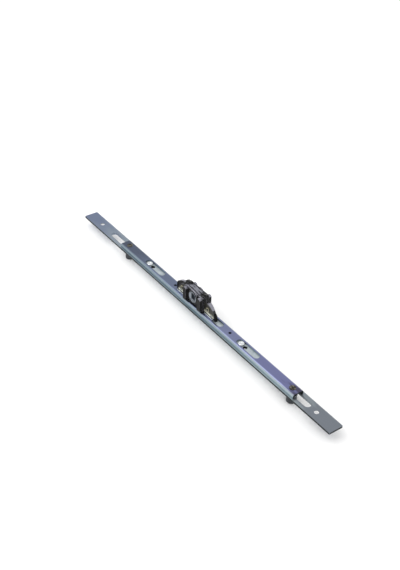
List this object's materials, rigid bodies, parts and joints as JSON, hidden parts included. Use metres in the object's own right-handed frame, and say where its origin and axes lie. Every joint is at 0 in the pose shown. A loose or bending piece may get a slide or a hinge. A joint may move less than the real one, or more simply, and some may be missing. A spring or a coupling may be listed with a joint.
{
  "type": "window espagnolette gearbox",
  "caption": "Surface-plated window espagnolette: slim faceplate, sliding drive rod with roller cams, and a spindle gear case that moves the rod.",
  "frame": {"origin": "middle of the faceplate's back face, straight under the spindle axis and midway between the two end screw holes", "axes": "+X along the faceplate, +Y across it along the spindle axis, +Z from the faceplate towards the spindle"},
  "size_m": [0.42, 0.016, 0.0364],
  "materials": {
    "zinc_plate": "bright zinc plating with a blue passivation",
    "zinc_rod": "bright zinc plating with a blue passivation",
    "bright_steel": "turned steel, bright zinc plated",
    "yellow_steel": "turned steel with a pale yellow passivation",
    "follower_steel": "sintered steel, bright",
    "dark_casting": null,
    "black_plastic": "black moulded plastic"
  },
  "bodies": {
    "lock": {"faceplate": "zinc_plate", "guide_strip_left": "bright_steel", "guide_strip_right": "bright_steel", "guide_stud_left": "bright_steel", "guide_stud_right": "bright_steel", "case_body": "dark_casting", "case_cover": "dark_casting", "mounting_post_left": "bright_steel", "mounting_post_right": "bright_steel", "case_foot_left": "bright_steel", "case_foot_right": "bright_steel", "case_eyelet_left": "yellow_steel", "case_eyelet_right": "yellow_steel", "end_pad_left": "black_plastic", "end_pad_right": "black_plastic"},
    "rod": {"drive_rod": "zinc_rod", "rod_glide_left": "black_plastic", "rod_glide_right": "bright_steel", "cam_stud_left": "yellow_steel", "cam_stud_right": "yellow_steel", "cam_washer_left": "bright_steel", "cam_washer_right": "bright_steel"},
    "follower": {"spindle_follower": "follower_steel"},
    "roller_left": {"cam_roller_left": "bright_steel"},
    "roller_right": {"cam_roller_right": "bright_steel"}
  },
  "joints": [
    {"name": "rod_slide", "type": "slide", "parent": "lock", "child": "rod", "axis": [1, 0, 0], "range_m": [-0.018, 0]},
    {"name": "follower_turn", "type": "hinge", "parent": "lock", "child": "follower", "pos_m": [0, 0, 0.0145], "axis": [0, 1, 0], "range_deg": [0, 90]},
    {"name": "roller_left_spin", "type": "hinge", "parent": "rod", "child": "roller_left", "pos_m": [-0.126, 0, -0.008], "axis": [0, 0, 1], "continuous": true},
    {"name": "roller_right_spin", "type": "hinge", "parent": "rod", "child": "roller_right", "pos_m": [0.1505, 0, -0.008], "axis": [0, 0, 1], "continuous": true}
  ],
  "couplings": [
    {"joint": "follower_turn", "follows": "rod_slide", "rad_per_m": -87.266}
  ]
}
